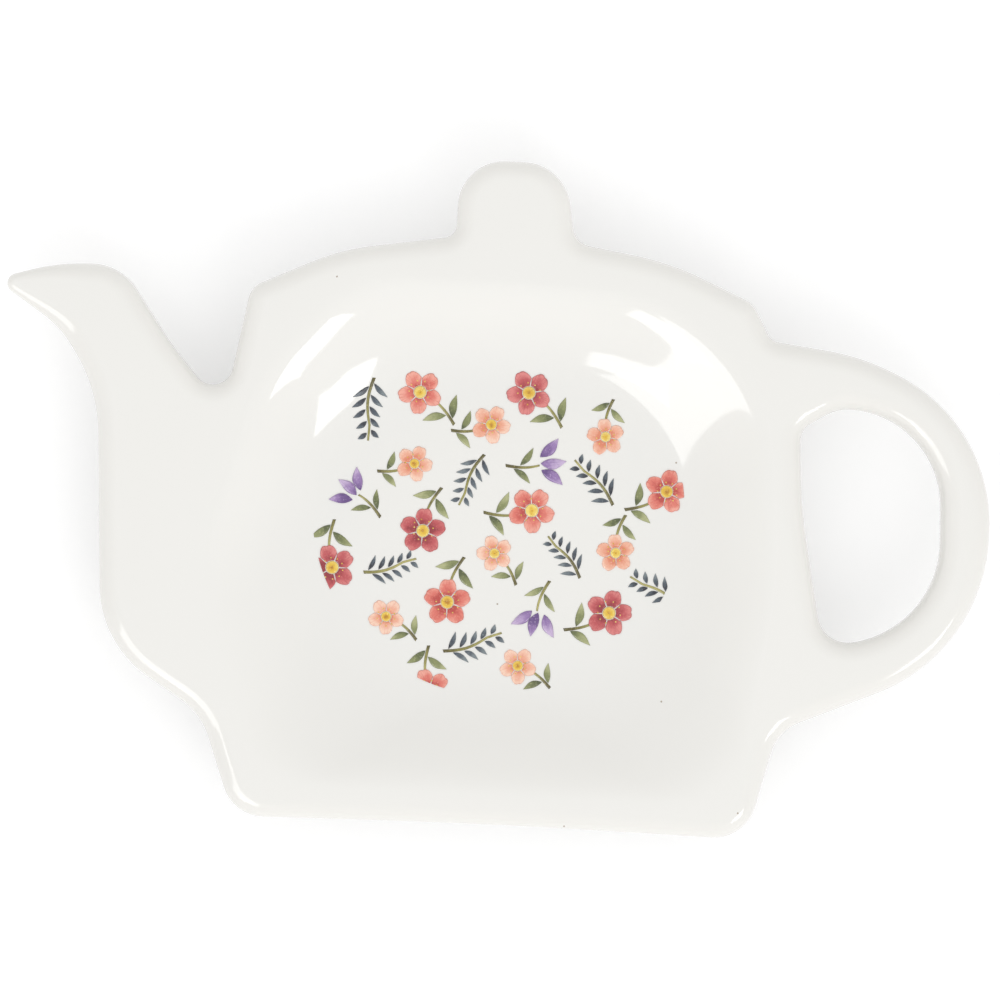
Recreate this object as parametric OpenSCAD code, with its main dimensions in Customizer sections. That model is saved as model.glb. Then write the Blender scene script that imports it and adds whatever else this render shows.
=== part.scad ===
// Tea bag rest: a small glazed ceramic dish in the outline of a teapot lying flat.
// The clay body is one pressing with a foot ring. Glaze covers it down to the dry foot,
// and a round transfer print in several enamel colours is fused on the dish floor.

/* [Pot outline] */
// Width of the pot body between the corners of its straight base
pot_w = 62; // [56:1:68]
// Height of the pot body from the base edge to the crown under the knob
pot_h = 71; // [66:1:78]
// Reach of the spout tip from the pot's axis
spout_reach = 60.6; // [58:0.2:66]
// Reach of the handle from the pot's axis
handle_reach = 59.4; // [57:0.2:66]
// Width of the handle's strap at its outermost point
strap_w = 5.65; // [5.3:0.05:6.4]
// Width of the lid knob
knob_w = 12.8; // [11:0.2:15]
// Height of the lid knob above the crown
knob_h = 9.5; // [8:0.25:12]

/* [Section] */
// Height of the rim's top face above the table
rim_z = 12; // [11:0.25:14]
// Thickness of the rim, spout, knob and handle
rim_t = 5; // [4.6:0.1:5.6]
// Radius of the rounded upper edge
edge_r = 2.4; // [1.8:0.1:2.5]
// Radius of the rounded lower edge
lower_edge_r = 1.2; // [0.8:0.1:1.6]
// Thickness of the dish floor over the foot recess
floor_t = 4.5; // [4:0.1:5.2]
// Half the width of the dish's flat floor, inside the cove that its wall runs out in
floor_r = 19.2; // [18:0.1:20.4]

/* [Foot] */
// Outer radius of the foot ring
foot_r = 22.2; // [20:0.2:23]
// Width of the foot ring's unglazed face
foot_w = 3; // [2:0.25:4]
// Height of the foot ring
foot_h = 1.5; // [1:0.1:2]

/* [Glaze] */
// Thickness of the fired glaze
glaze_t = 0.25; // [0.15:0.05:0.35]
// Bare margin between the glaze and the foot ring
dry_margin = 0.8; // [0.5:0.1:1.2]

/* [Print] */
// Radius of the round print, which climbs a little way up the cove
print_r = 22.6; // [20:0.1:23.4]
// Thickness of one fused enamel film
film_t = 0.08; // [0.05:0.01:0.12]
// Width of a painted stem
stem_w = 0.34; // [0.3:0.02:0.5]
// White gap kept between neighbouring colours
colour_gap = 0.08; // [0.06:0.01:0.12]

/* [Hidden] */
$fn = 72;

// Corners of the outline, each [x share, y share, corner radius share], in the order met
// going round anticlockwise from the base's right end. Heights are shares of pot_h. The
// handle's widths and radii are shares of its own depth, measured out from grip_x.
grip_x = 0.6 * pot_w;
base_right_shares = [[0.513, 0, 0.073], [0.564, 0.187, 0.080]];
handle_shares = [[1, 0.338, 0.947], [1, 0.729, 0.902], [0.2535, 0.831, 1.26]];
shoulder_right_shares = [[0.515, 0.850, 0.028], [0.477, 0.912, 0.042], [0.310, 0.975, 0.507]];
knob_shares = [[0.598, 0, 0.037], [0.477, 1, 0.082], [-0.527, 1, 0.079], [-0.523, 0.017, 0.023]];
shoulder_left_shares = [[-0.331, 0.970, 0.394], [-0.503, 0.899, 0.039], [-0.545, 0.688, 0.034]];
spout_shares = [[-0.670, 0.798, 0.560], [-0.776, 0.928, 0.092], [-0.903, 0.923, 0.352],
    [-1.024, 0.891, 0.017], [-0.891, 0.815, 0.169], [-0.810, 0.713, 0.268]];
belly_shares = [[-0.763, 0.280, 0.190], [-0.560, 0.170, 0.120], [-0.488, -0.002, 0.073]];
bow_shares = [[0, 0.006, 14]];

// Corners of the finger hole, with widths and radii as shares of its width from grip_x to
// one strap in from the handle's reach
hole_w = handle_reach - strap_w - grip_x;
hole_shares = [[0.164, 0.3345, 0.236], [1.013, 0.3725, 0.785], [0.951, 0.7394, 0.824],
    [0.187, 0.7401, 0.365], [-0.074, 0.7014, 0.146], [-0.036, 0.5655, 3.43]];

// Corners of the dish's shoulder, where the flat rim turns down into the dish
dish_shares = [[0.492, 0.056, 0.14], [0.55, 0.451, 0.85], [0.5, 0.914, 0.31],
    [0, 0.934, 1.7], [-0.306, 0.932, 0.2], [-0.486, 0.752, 0.3], [-0.584, 0.423, 0.282],
    [-0.445, 0.056, 0.14]];
// Centre of the dish, its floor and foot, on the pot's axis
dish_y_share = 0.54;

// Angle that an arc as tight as the upper edge is split into, and a straight side's pieces
arc_step = 23;
straight_step = pot_w / 6;
// The upper edge's radius, limited by the strap that it rounds from both sides
upper_limit_share = 0.44;
upper_r = min(edge_r, upper_limit_share * strap_w);
// Length of the spout over which the rounded edge shrinks towards the tip, and how far
tip_fade = edge_r * 2.6;
tip_edge_share = 0.42;
// Run of the under-wall inside the shoulder, and of the cove outside the foot ring
under_step = floor_t * 0.22;
foot_cove = foot_h * 1.8;
overrun = floor_t / 5;
hair = glaze_t / 100000;

// Heights of the finished, glazed faces
floor_z = foot_h + floor_t;
under_z = rim_z - rim_t;

function unit(v) = v / norm(v);
function turned(v) = [v.y, -v.x];
function cross_z(a, b) = a.x * b.y - a.y * b.x;
function flat(p) = [p.x, p.y];
function joined(lists) = [for (l = lists) for (e = l) e];
function scaled(shares, w, h, y0 = 0) = [for (s = shares) [s[0] * w, y0 + s[1] * h, s[2] * pot_h]];
function gripped(shares, w) = [for (s = shares) [grip_x + s[0] * w, s[1] * pot_h, s[2] * w]];

// Rounding a corner polygon. reach_at is the length that an arc takes up along each side.
function turn_at(c, i) = let (
        n = len(c),
        a = unit(flat(c[i]) - flat(c[(i + n - 1) % n])),
        b = unit(flat(c[(i + 1) % n]) - flat(c[i]))
    ) atan2(cross_z(a, b), a * b);
function reach_at(c, i) = c[i][2] * tan(abs(turn_at(c, i)) / 2);
function side_at(c, i) = norm(flat(c[(i + 1) % len(c)]) - flat(c[i % len(c)]));
function fit_at(c, i) = let (
        n = len(c),
        before = (i + n - 1) % n,
        r = reach_at(c, i)
    ) min(1, side_at(c, before) / (reach_at(c, before) + r), side_at(c, i) / (r + reach_at(c, (i + 1) % n)));

// One rounded corner as points [x, y, normal x, normal y]
function corner_arc(c, i) = let (
        n = len(c),
        turn = turn_at(c, i),
        radius = c[i][2] * fit_at(c, i),
        along = unit(flat(c[i]) - flat(c[(i + n - 1) % n])),
        start = flat(c[i]) - along * radius * tan(abs(turn) / 2),
        way = sign(turn),
        centre = start - turned(along) * radius * way,
        steps = max(1, ceil(abs(turn) / arc_step * sqrt(radius / edge_r)))
    ) [for (k = [0:steps]) let (
        a = turn * k / steps,
        out = turned(along) * cos(a) + along * sin(a)
    ) [centre.x + out.x * radius * way, centre.y + out.y * radius * way, out.x, out.y]];

// The whole rounded outline, with long straight sides split
function rounded(c) = let (arcs = [for (i = [0:len(c) - 1]) corner_arc(c, i)]) joined([
    for (i = [0:len(c) - 1]) let (
        last = arcs[i][len(arcs[i]) - 1],
        next = arcs[(i + 1) % len(c)][0],
        gap = norm(flat(next) - flat(last)),
        cuts = ceil(gap / straight_step)
    ) concat(
        [for (k = [0:len(arcs[i]) - (gap > hair ? 1 : 2)]) arcs[i][k]],
        cuts > 1 ? [for (k = [1:cuts - 1]) last + (next - last) * k / cuts] : []
    )
]);

// Corner polygons in the pot's frame: x from the pot's axis, y from the base edge
function outline_corners() = concat(
    scaled(base_right_shares, pot_w, pot_h),
    gripped(handle_shares, handle_reach - grip_x),
    scaled(shoulder_right_shares, pot_w, pot_h),
    scaled(knob_shares, knob_w, knob_h, pot_h),
    scaled(shoulder_left_shares, pot_w, pot_h),
    scaled(spout_shares, spout_reach, pot_h),
    scaled(belly_shares, pot_w, pot_h),
    scaled(bow_shares, pot_w, pot_h)
);
outline = rounded(outline_corners());
hole = rounded(gripped(hole_shares, hole_w));
dish = rounded(scaled(dish_shares, pot_w, pot_h));
dish_c = [0, dish_y_share * pot_h];
spout_tip = outline[search(min([for (p = outline) p.x]), [for (p = outline) p.x])[0]];

// The model stands on the middle of its own box
mid_x = (max([for (p = outline) p.x]) + min([for (p = outline) p.x])) / 2;
mid_y = (max([for (p = outline) p.y]) + min([for (p = outline) p.y])) / 2;

// Rounded edge from the top land round to the lower land, a little fuller than a circle's
// arc. g is the depth below the glaze.
fullness = 2 / 2.3;
top_angles = [90, 62, 32, 0];
low_angles = [0, 45, 90];
function tip_share(p) = let (away = norm(flat(p) - flat(spout_tip)))
    min(1, tip_edge_share + (1 - tip_edge_share) * away / tip_fade);
function edge_rings(loop, side, g) = concat(
    [for (a = top_angles) [for (p = loop) let (
        r = upper_r * tip_share(p),
        inset = r - (r - g) * pow(cos(a), fullness)
    ) [p.x + side * p[2] * inset, p.y + side * p[3] * inset, rim_z - r + (r - g) * pow(sin(a), fullness)]]],
    [for (a = low_angles) [for (p = loop) let (
        r = lower_edge_r * tip_share(p),
        inset = r - (r - g) * pow(cos(a), fullness)
    ) [p.x + side * p[2] * inset, p.y + side * p[3] * inset, under_z + r - (r - g) * pow(sin(a), fullness)]]]
);

// The dish wall rolls over at its shoulder and runs out into a broad cove at the floor.
// fall draws the steepest part towards the shoulder, by a share of the wall's run.
fall = 0.4;
wall_steps = 10;
under_steps = 5;
// The flat floor is an oval, flatter than wide and a little nearer to the base and the handle.
// floor_spot is the place on its edge that a point of the shoulder runs down to: the one
// that faces nearly the same way, so that the wall's contours keep the shoulder's corners.
flat_share = 0.87;
floor_shift_shares = [0.02, -0.115];
facing_share = 0.85;
function floor_spot(p) = let (
        n = facing_share * [p[2], p[3]] + (1 - facing_share) * unit(flat(p) - dish_c),
        size = [floor_r, floor_r * flat_share],
        turn = [size.x * n.x, size.y * n.y]
    ) dish_c + floor_r * floor_shift_shares + [size.x * turn.x, size.y * turn.y] / norm(turn);
function s_curve(u) = (1 - cos(180 * u * (1 + fall * (1 - u)))) / 2;
function dish_ring(k, lift) = let (u = k / wall_steps) [for (p = dish) let (
        spot = flat(p) + (floor_spot(p) - flat(p)) * u
    ) [spot.x, spot.y, rim_z + lift - (rim_z - floor_z) * s_curve(u)]];
function dish_rings(g) = [for (k = [0:wall_steps]) dish_ring(k, -g)];
function under_rings(g) = concat(
    [for (k = [0:under_steps]) let (u = k / under_steps) [for (p = dish) let (
        way = unit(flat(p) - dish_c),
        far = norm(flat(p) - dish_c) - under_step,
        reach = far + (foot_r + foot_cove - far) * u
    ) [dish_c.x + way.x * reach, dish_c.y + way.y * reach, under_z + g - (under_z - foot_h) * s_curve(u)]]],
    [[for (p = dish) let (
        way = unit(flat(p) - dish_c),
        reach = foot_r + dry_margin
    ) [dish_c.x + way.x * reach, dish_c.y + way.y * reach, foot_h + g]]]
);

// Filling a flat land between the outline, the finger hole and the dish. The loops are
// joined by their shortest bridges into one, and its ears are cut off one at a time.
function nearest(a, b) = let (
        d = [for (i = [0:len(a) - 1]) min([for (q = b) norm(flat(a[i][0]) - flat(q[0]))])],
        i = search(min(d), d)[0],
        e = [for (q = b) norm(flat(a[i][0]) - flat(q[0]))]
    ) [i, search(min(e), e)[0]];
function from(list, i) = [for (k = [0:len(list)]) list[(i + k) % len(list)]];
function bridged(a, b) = let (n = nearest(a, b))
    concat([for (k = [0:n[0]]) a[k]], from(b, n[1]), [for (k = [n[0]:len(a) - 1]) a[k]]);
function area(a, b, c) = cross_z(flat(b) - flat(a), flat(c) - flat(a));
function covers(a, b, c, p) = flat(p) != flat(a) && flat(p) != flat(b) && flat(p) != flat(c)
    && area(a, b, p) > -hair && area(b, c, p) > -hair && area(c, a, p) > -hair;
function is_ear(l, i) = let (
        n = len(l),
        a = l[(i + n - 1) % n][0],
        b = l[i % n][0],
        c = l[(i + 1) % n][0]
    ) area(a, b, c) > hair && len([for (q = l) if (covers(a, b, c, q[0])) 1]) == 0;
function ear_after(l, i, tries = 0) = tries > len(l) || is_ear(l, i % len(l))
    ? i % len(l)
    : ear_after(l, i + 1, tries + 1);
function filled(l, i = 0, done = []) = len(l) < 3 ? done : let (
        n = len(l),
        k = ear_after(l, i),
        ear = [l[(k + n - 1) % n][1], l[k][1], l[(k + 1) % n][1]]
    ) filled([for (j = [0:n - 1]) if (j != k) l[j]], k + 1, concat(done, [ear]));
function numbered(ring, start) = [for (i = [0:len(ring) - 1]) [ring[i], start + i]];
function backwards(list) = [for (i = [len(list) - 1:-1:0]) list[i]];
function land(outer, outer_at, gap, gap_at, well, well_at) = filled(bridged(
    numbered(outer, outer_at),
    bridged(backwards(numbered(well, well_at)), backwards(numbered(gap, gap_at)))
));

// A strip of triangles between two rings of n points that start at a and b
function strip(a, b, n) = joined([for (i = [0:n - 1]) let (j = (i + 1) % n)
    [[a + i, b + i, b + j], [a + i, b + j, a + j]]]);
function strips(at, n, rings) = joined([for (k = [0:rings - 2]) strip(at + k * n, at + (k + 1) * n, n)]);
function turned_over(faces) = [for (f = faces) [f[0], f[2], f[1]]];
function moved_on(faces, by) = [for (f = faces) [for (v = f) v + by]];

edge_count = len(top_angles) + len(low_angles);
hole_at = edge_count * len(outline);
dish_at = hole_at + edge_count * len(hole);
under_at = dish_at + (wall_steps + 1) * len(dish);
foot_at = under_at + (under_steps + 1) * len(dish);
skin_end = foot_at + len(dish);

function skin_points(g) = joined(concat(
    edge_rings(outline, -1, g), edge_rings(hole, 1, g), dish_rings(g), under_rings(g)));

// The faces of one skin, anticlockwise from outside, open inside the foot
function skin_faces() = let (
        p = skin_points(0),
        n = len(outline),
        m = len(hole),
        d = len(dish),
        last = edge_count - 1,
        floor_at = dish_at + wall_steps * d
    ) concat(
        land([for (i = [0:n - 1]) p[i]], 0,
            [for (i = [0:m - 1]) p[hole_at + i]], hole_at,
            [for (i = [0:d - 1]) p[dish_at + i]], dish_at),
        turned_over(land([for (i = [0:n - 1]) p[last * n + i]], last * n,
            [for (i = [0:m - 1]) p[hole_at + last * m + i]], hole_at + last * m,
            [for (i = [0:d - 1]) p[under_at + i]], under_at)),
        strips(0, n, edge_count),
        turned_over(strips(hole_at, m, edge_count)),
        turned_over(strips(dish_at, d, wall_steps + 1)),
        strips(under_at, d, under_steps + 2),
        [for (i = [1:d - 2]) [floor_at, floor_at + i, floor_at + i + 1]]
    );

// Places a piece so that the whole rest stands on the middle of its box
module on_table() {
    translate([-mid_x, -mid_y, 0]) children();
}
module at_dish() {
    on_table() translate([dish_c.x, dish_c.y, 0]) children();
}

// Fired clay: the pressing under the glaze, with its bare foot ring
module biscuit_body() {
    faces = concat(skin_faces(), [for (i = [1:len(dish) - 2]) [foot_at, foot_at + i + 1, foot_at + i]]);
    color("antiquewhite") {
        on_table() polyhedron(points = skin_points(glaze_t), faces = turned_over(faces));
        at_dish() rotate_extrude() translate([foot_r - foot_w, 0])
            square([foot_w, foot_h + glaze_t + overrun]);
    }
}

// Glass skin: the same form twice, one glaze thickness apart, closed round the foot
module glaze_coat() {
    d = len(dish);
    faces = concat(
        skin_faces(),
        turned_over(moved_on(skin_faces(), skin_end)),
        strip(foot_at, skin_end + foot_at, d)
    );
    color("white") on_table()
        polyhedron(points = concat(skin_points(0), skin_points(glaze_t)), faces = turned_over(faces));
}

// Pool of glaze in the recess, drawn a little way down the foot ring's inner wall
module foot_well_glaze() {
    r = foot_r - foot_w;
    lip = foot_h / 3;
    color("whitesmoke") at_dish() rotate_extrude() polygon([[0, foot_h], [r - lip - glaze_t, foot_h],
        [r - glaze_t, foot_h - lip], [r, foot_h - lip], [r, foot_h + glaze_t], [0, foot_h + glaze_t]]);
}

// A skin one enamel film thick that follows the dish's floor and the foot of its cove, out
// to the first ring beyond the print
module print_skin() {
    reach = [for (k = [0:wall_steps]) min([for (p = dish_ring(k, 0)) norm(flat(p) - dish_c)])];
    first = max([for (k = [0:wall_steps]) if (k == 0 || reach[k] > print_r) k]);
    d = len(dish);
    rings = wall_steps - first + 1;
    over = rings * d;
    polyhedron(
        points = joined([for (lift = [0, film_t], k = [first:wall_steps]) dish_ring(k, lift)]),
        faces = concat(
            strips(0, d, rings),
            turned_over(strips(over, d, rings)),
            turned_over(strip(0, over, d)),
            [[for (i = [over - d:over - 1]) i]],
            [[for (i = [over + over - 1:-1:over + over - d]) i]]
        )
    );
}

// Sprigs of the print, spread evenly over the disc by the golden angle. Kinds are numbered,
// and bearing says what each sprig in turn bears.
PEACH = 0;
CORAL = 1;
ROSE = 2;
LILAC = 3;
SLATE = 4;
bearing = [CORAL, SLATE, PEACH, LILAC, ROSE, SLATE, PEACH];
sprig_count = 29;
golden = 137.508;
first_turn = 275;
turn_step = 241;
size_step = 100;
// A sprig's size is a share of the print's radius, give or take the second share. The sprigs
// spread out to the third, and the fourth sets how near the first one is to the middle.
sprig_shares = [0.168, 0.02, 0.985, 0.35];
// Towards the knob, where the wall is nearest, the print is bare beyond this share
bare_share = 0.62;

// Shares of a sprig's size: how far up its stem ends, then the height of its leaf pairs, the
// stagger between their two sides, their length and their width
flower_shares = [-0.3, -0.74, 0.1, 0.7, 0.24];
bud_shares = [-0.02, -0.66, 0.1, 0.66, 0.2];
fern_shares = [0.85, -0.78, 0.05, 0.56, 0.15];
flower_lean = 56;
bud_lean = 48;
fern_lean = 50;
// A fern's pairs: how many, how far they spread up the stem, and how much each is shorter
fern_pairs = 5;
fern_run_share = 1.7;
fern_fall_share = 0.06;
// How far a stem bows to one side, and the length that the bow takes up
stem_bow_share = 0.12;
stem_run_share = 1.4;
// A flower's eye, the waist between its petals, its radius and its height on the sprig
eye_share = 0.2;
waist_share = 0.62;
petal_share = 0.7;
flower_rise_share = 0.38;
petal_count = 5;
// A bud's fan of petals: the step from one to the next, their shift and rise, length and width
fan_shares = [0.2, 0.04, 0.04, 0.78, 0.34];
fan_lean = 40;

// Runs over the sprigs that bear one of the kinds, each turned and placed, in its own size
module sprigs(kinds) {
    for (i = [0:sprig_count - 1]) if (len(search(bearing[i % len(bearing)], kinds)) > 0) {
        $s = print_r * (sprig_shares[0] + sprig_shares[1] * cos(size_step * i));
        far = print_r * sprig_shares[2] * sqrt((i + sprig_shares[3]) / sprig_count);
        spot = far * [cos(golden * i), sin(golden * i)];
        if (spot.y < bare_share * print_r)
            translate(spot) rotate(first_turn + turn_step * i) children();
    }
}

// One enamel film: a colour's shapes, cropped to the print's circle and cut from the skin
module film() {
    on_table() intersection() {
        print_skin();
        translate([dish_c.x, dish_c.y, floor_z - overrun])
            linear_extrude(rim_z - floor_z + overrun) intersection() {
                circle(print_r);
                union() children();
            }
    }
}

// A stem runs up from one size below the sprig's middle to its top, bowed to one side
function bow_at(y) = $s * stem_bow_share * sin(180 * min(1, max(0, (y / $s + 1) / stem_run_share)));
module stem(top_share) {
    n = 5;
    line = [for (i = [0:n]) let (y = $s * ((top_share + 1) * i / n - 1)) [bow_at(y), y]];
    polygon(concat(
        [for (p = line) [p.x + stem_w / 2, p.y]],
        [for (i = [n:-1:0]) [line[i].x - stem_w / 2, line[i].y]]
    ));
}

// A pointed leaf from its foot at the origin to its tip
module leaf(l, w) {
    n = 6;
    polygon(concat(
        [for (i = [0:n]) [w / 2 * sin(180 * i / n), l * i / n]],
        [for (i = [n - 1:-1:1]) [-w / 2 * sin(180 * i / n), l * i / n]]
    ));
}

// A pair of leaves, one on each side of the stem and clear of it by the gap. They sit higher
// up the sprig by rise, and are shorter by fall.
module leaf_pair(shares, lean, rise = 0, fall = 0) {
    for (side = [-1, 1]) {
        y = $s * (shares[1] + rise + side * shares[2]);
        translate([side * (stem_w / 2 + colour_gap) + bow_at(y), y])
            rotate(-side * lean) leaf($s * (shares[3] - fall), $s * shares[4]);
    }
}

module print_stems() {
    color("darkkhaki") film() {
        sprigs([PEACH, CORAL, ROSE]) stem(flower_shares[0]);
        sprigs([LILAC]) stem(bud_shares[0]);
        sprigs([SLATE]) stem(fern_shares[0]);
    }
}

module print_leaves() {
    color("olivedrab") film() {
        sprigs([PEACH, CORAL, ROSE]) leaf_pair(flower_shares, flower_lean);
        sprigs([LILAC]) leaf_pair(bud_shares, bud_lean);
    }
}

// Ferny sprigs of narrow leaflets in pairs, shorter towards the tip
module print_slate_sprigs() {
    color("darkslategray") film() sprigs([SLATE]) for (k = [0:fern_pairs - 1])
        leaf_pair(fern_shares, fern_lean, fern_run_share * k / fern_pairs, fern_fall_share * k);
}

// Open flowers of five petals round an eye
module petals(kind) {
    n = petal_count * 8;
    film() sprigs([kind]) translate([0, $s * flower_rise_share]) difference() {
        polygon([for (i = [0:n - 1]) let (
                a = 360 * i / n,
                r = $s * petal_share * (waist_share + (1 - waist_share) * abs(cos(petal_count * a / 2)))
            ) [r * cos(a), r * sin(a)]]);
        circle($s * eye_share);
    }
}
module print_peach_petals() {
    color("lightsalmon") petals(PEACH);
}
module print_coral_petals() {
    color("salmon") petals(CORAL);
}
module print_rose_petals() {
    color("indianred") petals(ROSE);
}

// Lilac buds are a fan of three petals over the stem
module print_lilac_petals() {
    color("mediumpurple") film() sprigs([LILAC]) for (k = [-1, 0, 1])
        translate([$s * (fan_shares[0] * k + fan_shares[1]), $s * fan_shares[2] + colour_gap])
            rotate(-fan_lean * k) leaf($s * fan_shares[3], $s * fan_shares[4]);
}

module print_yellow_centres() {
    color("gold") film() sprigs([PEACH, CORAL, ROSE])
        translate([0, $s * flower_rise_share]) circle($s * eye_share - colour_gap);
}

biscuit_body();
glaze_coat();
foot_well_glaze();
print_stems();
print_leaves();
print_slate_sprigs();
print_peach_petals();
print_coral_petals();
print_rose_petals();
print_lilac_petals();
print_yellow_centres();
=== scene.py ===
import math

import bmesh
import bpy
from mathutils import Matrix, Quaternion, Vector
from mathutils.bvhtree import BVHTree


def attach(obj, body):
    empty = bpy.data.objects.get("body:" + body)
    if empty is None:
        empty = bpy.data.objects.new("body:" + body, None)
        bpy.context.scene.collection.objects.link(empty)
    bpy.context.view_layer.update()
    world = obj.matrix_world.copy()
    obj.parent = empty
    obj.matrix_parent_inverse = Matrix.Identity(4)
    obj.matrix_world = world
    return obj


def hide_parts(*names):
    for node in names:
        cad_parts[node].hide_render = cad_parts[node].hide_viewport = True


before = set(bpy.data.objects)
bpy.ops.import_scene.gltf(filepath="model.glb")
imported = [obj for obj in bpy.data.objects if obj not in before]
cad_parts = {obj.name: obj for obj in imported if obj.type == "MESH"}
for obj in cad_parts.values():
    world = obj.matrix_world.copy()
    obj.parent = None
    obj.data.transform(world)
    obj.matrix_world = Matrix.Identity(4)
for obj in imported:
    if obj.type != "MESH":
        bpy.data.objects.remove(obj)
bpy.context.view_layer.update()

# The tabletop, the camera and the lamps
# A wide white sheet, seen straight from above through a long lens. A soft lamp and a large
# card are at the lower right, two smaller cards at the lower left: cards show only in gloss.
mm = 0.001
rim_z = 12 * mm
view_width = 120.5 * mm
view_centre = Vector((0.68 * mm, -0.65 * mm, rim_z))
view_height = 0.75
view_turn = 2.8
film_width = 36
nearest_seen, farthest_seen = 0.01, 20

lens = bpy.data.cameras.new("overhead_camera")
lens.sensor_width = film_width
lens.lens = film_width * view_height / view_width
lens.clip_start, lens.clip_end = nearest_seen, farthest_seen
camera = bpy.data.objects.new("overhead_camera", lens)
camera.location = view_centre + Vector((0, 0, view_height))
camera.rotation_euler = (0, 0, math.radians(view_turn))
bpy.context.scene.collection.objects.link(camera)
bpy.context.scene.camera = camera
bpy.context.scene.view_settings.view_transform = "Standard"


def panel(name, heading, elevation, distance, width, height, roll, watts, seen_in_gloss):
    """A panel lamp that faces the rest. Angles are in degrees, the heading anticlockwise from +X.
    It is either seen in the glaze's gloss or lights the matt colours, not both."""
    lamp = bpy.data.lights.new(name, "AREA")
    lamp.shape, lamp.size, lamp.size_y, lamp.energy = "RECTANGLE", width, height, watts
    stand = bpy.data.objects.new(name, lamp)
    a, e = math.radians(heading), math.radians(elevation)
    way = Vector((math.cos(a) * math.cos(e), math.sin(a) * math.cos(e), math.sin(e)))
    stand.location = way * distance
    stand.rotation_mode = "QUATERNION"
    rolled = Quaternion((0, 0, 1), math.radians(roll))
    stand.rotation_quaternion = way.to_track_quat("Z", "Y") @ rolled
    stand.visible_diffuse = not seen_in_gloss
    stand.visible_glossy = seen_in_gloss
    bpy.context.scene.collection.objects.link(stand)


panel("soft_lamp", heading=-62, elevation=50, distance=1.0, width=0.40, height=0.40, roll=0,
      watts=0.75, seen_in_gloss=False)
panel("near_card", heading=-41, elevation=43, distance=1.0, width=0.33, height=0.28, roll=-35,
      watts=1.2, seen_in_gloss=True)
panel("tall_card", heading=225, elevation=45.4, distance=0.42, width=0.184, height=0.262, roll=-6,
      watts=0.36, seen_in_gloss=True)
panel("wide_card", heading=243, elevation=43.4, distance=0.42, width=0.155, height=0.115, roll=14,
      watts=0.15, seen_in_gloss=True)

world = bpy.data.worlds.new("studio")
bpy.context.scene.world = world
world.use_nodes = True


def add_node(material_tree, kind, at, **settings):
    """One shader node, with sockets set by name and other settings as attributes."""
    node = material_tree.nodes.new(kind)
    node.location = at
    for key, value in settings.items():
        if hasattr(node, key):
            setattr(node, key, value)
        else:
            node.inputs[key.replace("_", " ")].default_value = value
    return node


def seen_directly(tree, at):
    """1 for camera, mirror and glass rays, so that these see plain white."""
    rays = add_node(tree, "ShaderNodeLightPath", at)
    total = add_node(tree, "ShaderNodeMath", (at[0] + 180, at[1]), operation="ADD")
    both = add_node(tree, "ShaderNodeMath", (at[0] + 360, at[1]), operation="ADD", use_clamp=True)
    tree.links.new(rays.outputs["Is Camera Ray"], total.inputs[0])
    tree.links.new(rays.outputs["Is Glossy Ray"], total.inputs[1])
    tree.links.new(total.outputs[0], both.inputs[0])
    tree.links.new(rays.outputs["Is Transmission Ray"], both.inputs[1])
    return both.outputs[0]


# Matt colours are lit by a room that is dim overhead and brighter round about, most of all
# from the side of the pot's base. Camera and gloss see plain white in its place.
room_light = 1.42
room_tilt = 0.20
bright_side = (0.09, -0.55, -2.45)
tree = world.node_tree
tree.nodes.clear()
dim = add_node(tree, "ShaderNodeBackground", (0, 100), Color=(1, 1, 1, 1))
white = add_node(tree, "ShaderNodeBackground", (0, -100), Strength=1.0, Color=(1, 1, 1, 1))
pick = add_node(tree, "ShaderNodeMixShader", (250, 0))
out = add_node(tree, "ShaderNodeOutputWorld", (450, 0))
way = add_node(tree, "ShaderNodeTexCoord", (-800, 300))
facing = add_node(tree, "ShaderNodeVectorMath", (-600, 300), operation="DOT_PRODUCT")
facing.inputs[1].default_value = bright_side
tilt = add_node(tree, "ShaderNodeMath", (-400, 300), operation="MULTIPLY_ADD")
tilt.inputs[1].default_value = room_light * room_tilt
tilt.inputs[2].default_value = room_light
tree.links.new(way.outputs["Generated"], facing.inputs[0])
tree.links.new(facing.outputs["Value"], tilt.inputs[0])
tree.links.new(tilt.outputs[0], dim.inputs["Strength"])
tree.links.new(seen_directly(tree, (-600, 0)), pick.inputs[0])
tree.links.new(dim.outputs[0], pick.inputs[1])
tree.links.new(white.outputs[0], pick.inputs[2])
tree.links.new(pick.outputs[0], out.inputs[0])

floor_size = 6.0
floor_white, floor_glow = 0.70, 0.40
floor_mesh = bpy.data.meshes.new("white_sheet")
half = floor_size / 2
sheet_corners = [(-half, -half, 0), (half, -half, 0), (half, half, 0), (-half, half, 0)]
floor_mesh.from_pydata(sheet_corners, [], [(0, 1, 2, 3)])
floor = bpy.data.objects.new("white_sheet", floor_mesh)
bpy.context.scene.collection.objects.link(floor)
paper = bpy.data.materials.new("white_sheet")
paper.use_nodes = True
tree = paper.node_tree
sheet = tree.nodes["Principled BSDF"]
sheet.inputs["Base Color"].default_value = (floor_white, floor_white, floor_white, 1)
sheet.inputs["Roughness"].default_value = 0.9
sheet.inputs["Specular IOR Level"].default_value = 0.0
sheet.inputs["Emission Color"].default_value = (1, 1, 1, 1)
glow = add_node(tree, "ShaderNodeMath", (-200, -300), operation="MULTIPLY")
glow.inputs[1].default_value = floor_glow
tree.links.new(seen_directly(tree, (-760, -300)), glow.inputs[0])
tree.links.new(glow.outputs[0], sheet.inputs["Emission Strength"])
floor_mesh.materials.append(paper)

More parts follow.
